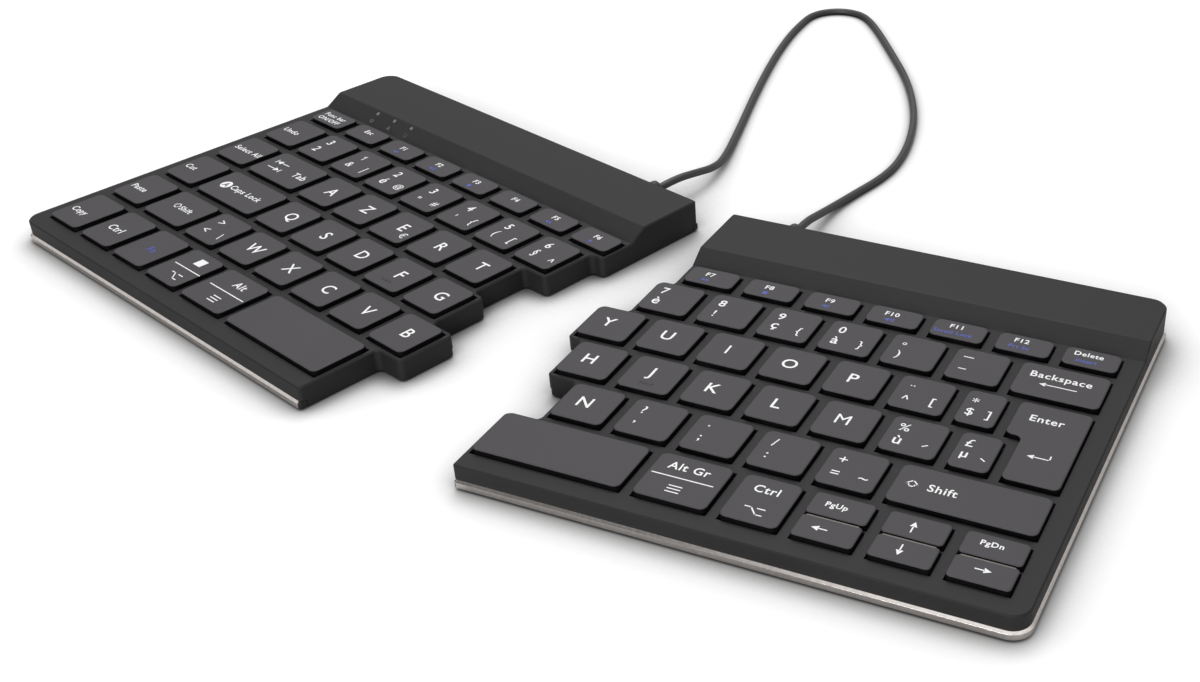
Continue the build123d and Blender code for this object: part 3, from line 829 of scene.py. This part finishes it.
play = patches([(-0.6, -0.8), (0.9, 0), (-0.6, 0.8)])
back_track = patches([(0.0, 0), (1.2, -0.75), (1.2, 0.75)], [(-1.2, 0), (0, -0.75), (0, 0.75)])
next_track = patches([(-1.2, -0.75), (0.0, 0), (-1.2, 0.75)], [(0, -0.75), (1.2, 0), (0, 0.75)])
halt = patches([(-0.75, -0.75), (0.75, -0.75), (0.75, 0.75), (-0.75, 0.75)])


coat, white, blue = 0, 2, 3
letter_shift = {"left": (1.2 * mm, 0.1 * mm), "right": (-1.0 * mm, 0.2 * mm)}
sign_places = {"left": (5.3, 5.3, 12.9), "right": (4.1, 4.1, 11.7), "narrow": (3.1, 3.1, 8.3)}
sign_rows = (10.9, 5.1, 5.1)
sign_heights = {"@": 2.7, "#": 2.9, "&": 3.2, **dict.fromkeys("éèçàù", 4.0)}
left_signs = [
    (">", "<", "\\"), ("3", "2", ""), ("1", "&", "|"), ("2", "é", "@"), ("3", "\"", "#"),
    ("4", "'", "{"), ("5", "(", "["), ("6", "§", "^"),
]
right_signs = [
    ("?", ",", ""), (".", ";", ""), ("/", ":", ""), ("+", "=", "~"),
    ("%", "ù", "´"), ("£", "µ", "`"), ("¨", "^", "["), ("*", "$", "]"),
    ("7", "è", ""), ("8", "!", ""), ("9", "ç", "{"), ("0", "à", "}"),
    ("°", ")", ""), ("_", "-", ""),
]

drawn_signs = {
    "1": bars((0.25, -1.2, 0.25, 1.2), (-0.6, 0.6, 0.1, 1.1)),
    "_": bars((-1.3, 0.3, 1.3, 0.3)), "-": bars((-0.95, 0, 0.95, 0)),
    "´": bars((-0.55, -0.4, 0.55, 0.4)), "`": bars((-0.55, 0.4, 0.55, -0.4)),
}


def printed(surface, shape, x, y, colour):
    """A shape as printed on a surface, the coat's colour over the ink: points, faces, colour."""
    lift = ink_lift * (2 if colour == coat else 1)
    return [surface @ Vector((x + point.x, y + point.y, lift)) for point in shape[0]], shape[1], colour


def sign(shape, x, y, colour=white):
    """A drawn sign with its middle at x and y, in millimetres."""
    return shape, x * mm, y * mm, colour


def centred(text, height, x, y, colour=white):
    """A word in type of a height, with its middle at x and y, in millimetres."""
    return sign(text_shape(text, height), x, y, colour)


def word(text, height, x, y):
    """A word in type of a height that starts at x, in millimetres."""
    shape = text_shape(text, height)
    return shape, x * mm + shape[2], y * mm, white


rule = bars((-6.5, 0, 6.5, 0))
wide_rule = bars((-8.4, 0, 8.4, 0))
lock_disc = patches(round_outline(2.1, 28))
left_controls = [
    [word("Copy", word_height, 2.2, 6.9)], [word("Paste", word_height, 1.9, 6.9)],
    [word("Cut", word_height, 1.9, 7.4)], [word("Select All", word_height, 1.6, 7.5)],
    [word("Undo", word_height, 1.9, 7.6)],
    [sign(lock_disc, 6.2, 7.5), centred("A", 2.4, 6.2, 7.5, coat), word("Caps Lock", 2.5, 9.0, 7.5)],
    [sign(tab_sign, 7.2, 7.6), word("Tab", 2.9, 16.5, 7.3)],
    [word("Ctrl", 2.9, 3.9, 8.3)], [centred("Fn", 2.7, 9.3, 8.3, blue)],
    [sign(tile_sign, 9.2, 13.3), sign(rule, 9.2, 8.8), sign(step_sign, 9.6, 4.1)],
    [centred("Alt", 2.9, 11.8, 13.2), sign(wide_rule, 11.4, 8.7), sign(menu_sign, 11.8, 4.3)],
]
right_controls = [
    [centred("Alt Gr", 2.9, 9.7, 13.4), sign(wide_rule, 9.7, 9.1), sign(menu_sign, 9.6, 4.6)],
    [centred("Ctrl", 2.9, 7.5, 13.0), sign(step_sign, 7.6, 4.4)],
    [centred("PgUp", 1.9, 6.8, 4.3)], [sign(arrow(4.0), 6.0, 4.3)],
    [sign(turned(arrow(4.0), -90), 7.1, 4.2)], [sign(turned(arrow(4.0), 90), 7.1, 4.3)],
    [centred("PgDn", 1.9, 7.1, 4.9)], [sign(turned(arrow(4.0), 180), 8.0, 4.8)],
]
left_functions = [
    [word("Func bar", small_height, 2.1, 5.7), word("ON/OFF", small_height, 2.1, 2.6)],
    [centred("Esc", small_height, 7.8, 5.6)],
]
right_functions = []
runs = (
    (left_functions, 1, (7.9, 5.4), (7.7, 2.2), (softer, louder, halt, None, back_track, play)),
    (right_functions, 7, (7.0, 5.5), (6.8, 2.3), (next_track, halt, softer, louder)),
)
for row, first, above, below, pictures in runs:
    for index, picture in enumerate(pictures, first):
        legend = [centred("F" + str(index), small_height, *above)]
        row.append(legend + [sign(picture, *below, blue)] if picture else legend)
for name, under in (("F11", "Scroll Lock"), ("F12", "Prt Sc"), ("Delete", "Insert")):
    legend = [centred(name, small_height, 6.9, 6.1)]
    right_functions.append(legend + [centred(under, 1.7, 6.9, 2.7, blue)])
single_legends = {
    "key_shift_left": [sign(shift_arrow, 7.5, 8.0), word("Shift", 2.3, 9.4, 8.0)],
    "key_shift_right": [sign(shift_arrow, 4.7, 8.0), word("Shift", 2.9, 8.9, 8.1)],
    "key_backspace": [centred("Backspace", 2.85, 12.1, 10.0), sign(arrow(10.4, 0.9), 12.1, 6.2)],
    "key_enter": [centred("Enter", 2.9, 4.3, 27.9), sign(arrow(6.0, 0.9, 1.7), 6.6, 11.3)],
    "key_e": [centred("€", 2.9, 12.9, 4.5)],
}
groups = {
    "left_control_keys": iter(left_controls), "right_control_keys": iter(right_controls),
    "left_function_keys": iter(left_functions), "right_function_keys": iter(right_functions),
}
sign_groups = {"left_number_keys": iter(left_signs), "right_number_keys": iter(right_signs)}


def legends_of(side, key):
    """What is printed on one key, each shape with its place from the cap's lower left corner."""
    body, x0, x1, y0, y1 = key
    legends = list(single_legends.get(body, []))
    if body in groups:
        legends += next(groups[body])
    elif body in sign_groups:
        columns = sign_places["narrow" if x1 - x0 < narrow_cell else side]
        for text, column, row in zip(next(sign_groups[body]), columns, sign_rows):
            if text in drawn_signs:
                legends.append(sign(drawn_signs[text], column, row))
            elif text:
                legends.append(centred(text, sign_heights.get(text, sign_height), column, row))
    elif len(body) == len("key_a"):
        shift_x, shift_y = letter_shift[side]
        letter = text_shape(body[-1].upper(), letter_height)
        legends.append((letter, (x1 - x0) / 2 + shift_x, (y1 - y0) / 2 + shift_y, white))
    return legends


# The two index fingers find their keys by a low moulded bar near the front of F and J. The
# lower cap of each pair of half caps has a low ridge along its rear edge, coloured paler as a painted sheen
# where its rounded edge catches the light.
homing_size = (4.2 * mm, 0.6 * mm, 0.25 * mm)
homing_inset = 3.2 * mm
lip_width = 0.42 * mm
lip_height = 0.07 * mm
lip_inset = 0.3 * mm
bar_root = 0.1 * mm
bar_roundness = 0.7
cap_crease = 40

# A paler colour for the ridge: a painted sheen, standing in for light caught by a rounded edge.
worn_lip = moulded(
    "worn_lip", (0.13, 0.115, 0.105), (0.16, 0.143, 0.13), (0.4, 0.5), 3000, 0.01 * mm, 0.3
)


def low_bar(length, width, height, material):
    """A low bar with a rounded back on the cap's surface, centred on its own middle."""
    shape = bmesh.new()
    bmesh.ops.create_cube(shape, size=1)
    for vertex in shape.verts:
        vertex.co.x *= length
        vertex.co.y *= width
        vertex.co.z = cap_top - bar_root if vertex.co.z < 0 else cap_top + height
    upper = [edge for edge in shape.edges if all(v.co.z > cap_top for v in edge.verts)]
    bevel = height * bar_roundness
    bmesh.ops.bevel(shape, geom=upper, offset=bevel, segments=3, affect="EDGES", profile=0.5)
    return mesh_from(shape, "low_bar", material)


cap_materials = [cap_top_coat, cap_side_black, ink_white, ink_blue, worn_lip]
cap_surface = Matrix.Translation((0, 0, cap_top))
ink = {}
caps = {}
middles = {}
for side, field in (("left", left_field()), ("right", right_field())):
    desk = desks[side]
    surface = desk @ cap_surface
    for key in field:
        body, x0, x1, y0, y1 = key
        middle, width, depth = (x0 + x1) / 2, x1 - x0, y1 - y0
        pieces = [(cap_mesh(width, depth), (y0 + y1) / 2, cap_bottom)]
        if body in ("key_f", "key_j"):
            pieces.append((low_bar(*homing_size, cap_top_coat), y0 + homing_inset, 0))
        # The lower half caps get a low ridge in the painted sheen colour.
        if depth < f_depth and y0 < -key_width:
            lip = low_bar(width - 2 * half_cap_corner, lip_width, lip_height, worn_lip)
            pieces.append((lip, y1 - lip_inset, 0))
        for mesh, y, z in pieces:
            mesh.transform(desk @ Matrix.Translation((middle, y, z)))
            caps.setdefault(body, []).append(mesh)
        middles.setdefault(body, []).append(desk @ Vector((middle, (y0 + y1) / 2, 0)))
        for shape, x, y, colour in legends_of(side, key):
            ink.setdefault(body, []).append(printed(surface, shape, x0 + x, y0 + y, colour))
enter = enter_mesh()
enter.transform(desks["right"])
caps["key_enter"] = [enter]
ink["key_enter"] = [
    printed(surface, shape, enter_left + x, pitch + y, colour)
    for shape, x, y, colour in single_legends["key_enter"]
]

for body, meshes in caps.items():
    shape = bmesh.new()
    for mesh in meshes:
        first = len(shape.faces)
        shape.from_mesh(mesh)
        shape.faces.ensure_lookup_table()
        finishes = [cap_materials.index(material or cap_side_black) for material in mesh.materials]
        for face in shape.faces[first:]:
            face.material_index = finishes[face.material_index]
            face.smooth = True
    for points, faces, colour in ink.get(body, []):
        corners = [shape.verts.new(point) for point in points]
        for indices in faces:
            face = shape.faces.new([corners[index] for index in indices])
            face.material_index = colour
    cap = linked(body + "_cap", mesh_from(shape, body, *cap_materials))
    cap.data.set_sharp_from_angle(angle=radians(cap_crease))
    stands_for(cap, body)


# Under each cap a silicone dome stands on the membrane. It springs the cap back and folds
# flat beneath it; here the domes are rigid, one piece for each group of keys, fixed to its half.
membrane_top = 2.5 * mm
dome_room = cap_bottom - membrane_top
dome_flange = 0.3 * mm
dome_sizes = {
    "Foot Radius": 3.8 * mm, "Neck Radius": 1.5 * mm,
    "Height": dome_room - dome_flange, "Flange": dome_flange,
}
dome_sides = 20
dome_wall_share = 0.6
dome_neck_share = 1.3
made_crease = 35

dome_silicone = moulded(
    "dome_silicone", (0.6, 0.6, 0.58), (0.7, 0.7, 0.68), (0.4, 0.5), 1500, 0.02 * mm
)


def solid_work(tree, operation, inputs):
    """The mesh of an exact boolean node."""
    node = wired(tree, "GeometryNodeMeshBoolean", inputs, solver="EXACT", operation=operation)
    return node["Mesh"]


def stack(tree, stages, sides):
    """Round stages on one another, as one shell, each with sockets for its radii and height."""
    level, shells = 0, []
    for low, high, height in stages:
        sizes = {"Vertices": sides, "Radius Bottom": low, "Radius Top": high, "Depth": height}
        cone = wired(tree, "GeometryNodeMeshCone", sizes)["Mesh"]
        lift = wired(tree, "ShaderNodeCombineXYZ", {"Z": level})[0]
        placed = wired(tree, "GeometryNodeTransform", {"Geometry": cone, "Translation": lift})
        shells.append(placed["Geometry"])
        level = maths(tree, "ADD", level, height)
    return solid_work(tree, "UNION", {"Mesh 2": shells})


def at_points(tree, points, shape):
    """A shape set on every point of a mesh."""
    inputs = {"Points": points, "Instance": shape}
    return wired(tree, "GeometryNodeInstanceOnPoints", inputs)["Instances"]


def point_tree(name, sizes):
    """A tree that works on points, with named sizes and a material, and its input sockets."""
    return piece_tree(name, Geometry=["Geometry"], Float=sizes, Material=["Material"])


def repeated(tree, given, shape):
    """Ends a tree: the shape at every point of the mesh, made real, in the material given."""
    spread = at_points(tree, given["Geometry"], shape)
    wired(tree, "NodeGroupOutput", {"Geometry": real_in(tree, spread, given["Material"])})


def worked(name, points, tree, sizes, material):
    """What a tree makes at some points, as a new object."""
    mesh = made_by(tree, points, {**sizes, "Material": material})
    smoothed(mesh, made_crease)
    return linked(name, mesh)


tree, given = point_tree("rubber_dome", dome_sizes)
foot, neck = given["Foot Radius"], given["Neck Radius"]
wall_rise = times(tree, given["Height"], dome_wall_share)
neck_rise = times(tree, given["Height"], 1 - dome_wall_share)
dome_stages = [
    (foot, foot, given["Flange"]),
    (foot, times(tree, neck, dome_neck_share), wall_rise),
    (neck, neck, neck_rise),
]
repeated(tree, given, stack(tree, dome_stages, dome_sides))
middles["key_enter"] = [Vector((*box_middle([tuple(v.co) for v in enter.vertices]), 0))]
for body, places in middles.items():
    points = [(place.x, place.y, membrane_top) for place in places]
    dome = worked(body + "_domes", points, tree, dome_sizes, dome_silicone)
    side = next(j["parent"] for j in frame["joints"] if j["name"] == body + "_press")
    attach(dome, side)
    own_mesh(dome)
    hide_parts(side.replace("half", "domes"))


# Six screws a half hold the base plate to the bosses of the top from below. They are
# blackened steel, with a flat pan head, a cross recess and a rolled thread.
screw_head_radius = 1.5 * mm
screw_head_height = 0.6 * mm
screw_sizes = {
    "Head Radius": screw_head_radius, "Head Height": screw_head_height,
    "Shank Radius": 0.8 * mm, "Length": 4.4 * mm, "Pitch": 0.4 * mm,
}
screw_sides = 32
thread_sides = 24
thread_turns = 8
root_share = 0.82
recess_width = 0.34 * mm
recess_depth = 0.3 * mm
head_edge_share = 0.35
point_share = 0.15

screw_steel = bare_metal("screw_steel", (0.1, 0.1, 0.105), (0.16, 0.16, 0.165), (0.3, 0.45), 2500)


def solids_of(node):
    """The vertices of each separate solid of a CAD node."""
    shape = bmesh.new()
    shape.from_mesh(nodes[node].data)
    bmesh.ops.remove_doubles(shape, verts=shape.verts, dist=0.001 * mm)
    waiting, solids = set(shape.verts), []
    while waiting:
        reached = [waiting.pop()]
        for vertex in reached:
            near = {edge.other_vert(vertex) for edge in vertex.link_edges} & waiting
            waiting -= near
            reached += near
        solids.append([vertex.co.copy() for vertex in reached])
    shape.free()
    return solids


tree, given = point_tree("pan_head_screw", screw_sizes)
head, head_rise, shank = given["Head Radius"], given["Head Height"], given["Shank Radius"]
root = times(tree, shank, root_share)
shank_rise = maths(tree, "SUBTRACT", given["Length"], head_rise)
screw_stages = [
    (times(tree, head, root_share), head, times(tree, head_rise, head_edge_share)),
    (head, head, times(tree, head_rise, 1 - head_edge_share)),
    (root, root, times(tree, shank_rise, 1 - point_share)),
    (root, times(tree, root, 0.5), times(tree, shank_rise, point_share)),
]
turned_body = stack(tree, screw_stages, screw_sides)
half_turn = times(tree, given["Pitch"], 0.5)
ridge = stack(tree, [(root, shank, half_turn), (shank, root, half_turn)], thread_sides)
thread_line = wired(tree, "GeometryNodeMeshLine", {
    "Count": thread_turns, "Start Location": (0, 0, screw_head_height),
    "Offset": wired(tree, "ShaderNodeCombineXYZ", {"Z": given["Pitch"]})[0],
})["Mesh"]
turns = {"Geometry": at_points(tree, thread_line, ridge)}
turns = wired(tree, "GeometryNodeRealizeInstances", turns)["Geometry"]
threads = {"Self Intersection": True, "Mesh 2": [turned_body, turns]}
cuts = {"Mesh 1": solid_work(tree, "UNION", threads), "Mesh 2": []}
for size in ((recess_width, screw_head_radius), (screw_head_radius, recess_width)):
    cut = wired(tree, "GeometryNodeMeshCube", {"Size": (*size, 2 * recess_depth)})["Mesh"]
    cuts["Mesh 2"].append(cut)
repeated(tree, given, solid_work(tree, "DIFFERENCE", cuts))
for half in desks:
    points = []
    for solid in solids_of(half + "_screws"):
        points.append((*box_middle(solid), min(corner.z for corner in solid)))
    screws = worked(half + "_pan_head_screws", points, tree, screw_sizes, screw_steel)
    stands_for(screws, half + "_screws")


# Rubber strips under each base plate, a rubber grommet where the cord leaves each rear wall,
# and the smoky light guide whose three pins end flush in the slope of the left half.
foot_rubber = moulded(
    "foot_rubber", (0.02, 0.02, 0.02), (0.03, 0.03, 0.03), (0.7, 0.8), 1800, 0.05 * mm
)
smoky_guide = moulded(
    "smoky_guide", (0.11, 0.11, 0.115), (0.14, 0.14, 0.145), (0.2, 0.3), 1800, 0.005 * mm
)
relief_crease = 40
relief_length = 3.0 * mm
relief_sides = 28
hole_height = 5.7 * mm
relief_stages = [
    (-2.6, 0, 2.6, 2.6), (-1.8, 0, 2.6, 2.6), (-1.8, 0, 1.9, 1.9), (0, 0, 1.9, 1.9),
    (0, 1.9, 2.6, 3.4), (1.5, 1.9, 2.6, 3.35), (2.3, 1.9, 2.45, 3.15), (2.8, 1.9, 2.1, 2.7),
    (3.0, 1.9, 1.6, 2.2),
]


def cord_relief(half, tip):
    """The grommet: a flange and a neck in the wall's hole, and an oval collar outside."""
    start = desks[half].inverted() @ metres(tip)
    rings = []
    for along, rise, half_width, half_height in relief_stages:
        y = start.y - relief_length + along * mm
        ring = []
        for cosine, sine in round_outline(1, relief_sides):
            x = start.x + half_width * mm * cosine
            ring.append(desks[half] @ Vector((x, y, hole_height + rise * mm + half_height * mm * sine)))
        rings.append(ring)
    shape = shell(rings)
    bmesh.ops.recalc_face_normals(shape, faces=shape.faces)
    mesh = mesh_from(shape, "cord_relief", cord_jacket)
    smoothed(mesh, relief_crease)
    return linked(half + "_cord_relief", mesh)


for half in desks:
    softened(half + "_feet", half + "_rubber_feet", 0.25 * mm, 3, foot_rubber)
for half, tip in zip(desks, (left_exit, right_exit)):
    stands_for(cord_relief(half, tip), half + "_cord_grommet")
softened("left_indicator_lights", "left_light_guide", 0.06 * mm, 2, smoky_guide)


# Small plain signs are printed on the slope below the three lights, in a grey that hardly
# shows: a battery cell, a letter A for the capitals lock, and a ring.
slope_foot = 87.0 * mm
slope_run = 6.0 * mm
slope_rise = 3.7 * mm
deck_height = 7.5 * mm
mark_share = 0.28
mark_places = (-118.7, -109.1, -99.5)
slope = Matrix.Translation((0, slope_foot + slope_run * mark_share, deck_height + slope_rise * mark_share))
slope = desks["left"] @ slope @ Matrix.Rotation(atan2(slope_rise, slope_run), 4, "X")
cell = outlined([(-0.8, -0.45), (0.6, -0.45), (0.6, 0.45), (-0.8, 0.45)])
ring = outlined(round_outline(0.7, 12))
marks = zip((cell, text_shape("A", 1.7), ring), mark_places)
points, faces, _ = together(*[printed(slope, shape, x * mm, 0, coat) for shape, x in marks])
marks_data = bpy.data.meshes.new("light_marks")
marks_data.from_pydata(points, [], faces)
marks_data.materials.append(ink_grey)
light_marks = linked("left_light_marks", marks_data)
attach(light_marks, "left_half")


# Inside lie a steel switch plate, a printed film and a circuit board in each half. The left
# half also holds the flat foil-wrapped battery and the plated shell of the charge socket.
board_top = 4.3 * mm
mortar_share = 0.03
ground_shift = 0.9
part_black = (0.02, 0.02, 0.02, 1)
sheet_grains = 600
sheet_bump = (0.2, 0.01 * mm)
sheet_steel = bare_metal("sheet_steel", (0.42, 0.42, 0.42), (0.52, 0.52, 0.52), (0.3, 0.45), 700, (1, 20, 1))
plated_shell = bare_metal("plated_shell", (0.6, 0.6, 0.6), (0.68, 0.68, 0.68), (0.2, 0.3), 900, (1, 12, 1))
battery_foil = bare_metal("battery_foil", (0.4, 0.42, 0.45), (0.48, 0.5, 0.53), (0.35, 0.5), 400)


def printed_tracks(name, ground, track, spacing, rough, above=None):
    """A sheet with fine tracks printed on it, and dark parts above a level of its own."""
    def surface(tree, place):
        colour = wired(tree, "ShaderNodeTexBrick", {
            "Scale": 1 / spacing, "Mortar Size": mortar_share, "Vector": place, "Mortar": (*track, 1),
            "Color1": (*ground, 1), "Color2": (*(share * ground_shift for share in ground), 1),
        })["Color"]
        if above:
            over = maths(tree, "GREATER_THAN", axes(tree, place)["Z"], above)
            colour = mixed(tree, over, colour, part_black, "RGBA")
        uneven = grain(tree, place, sheet_grains)
        return {
            "Base Color": colour, "Roughness": span(tree, uneven, *rough),
            "Normal": relief(tree, uneven, *sheet_bump),
        }
    return finish(name, surface)


printed_film = printed_tracks("printed_film", (0.62, 0.64, 0.62), (0.32, 0.33, 0.34), 9.5 * mm, (0.25, 0.35))
green_laminate = printed_tracks(
    "green_laminate", (0.02, 0.12, 0.05), (0.05, 0.22, 0.09), 3.0 * mm, (0.3, 0.45), board_top + 0.02 * mm
)
inner_finishes = {"switch_plate": sheet_steel, "membrane": printed_film, "circuit_board": green_laminate}
for half in desks:
    for name, material in inner_finishes.items():
        finished_in(nodes[half + "_" + name].data, material)
softened("left_battery", "left_battery_pack", 0.4 * mm, 3, battery_foil)
softened("left_charge_socket", "left_charge_shell", 0.08 * mm, 2, plated_shell)
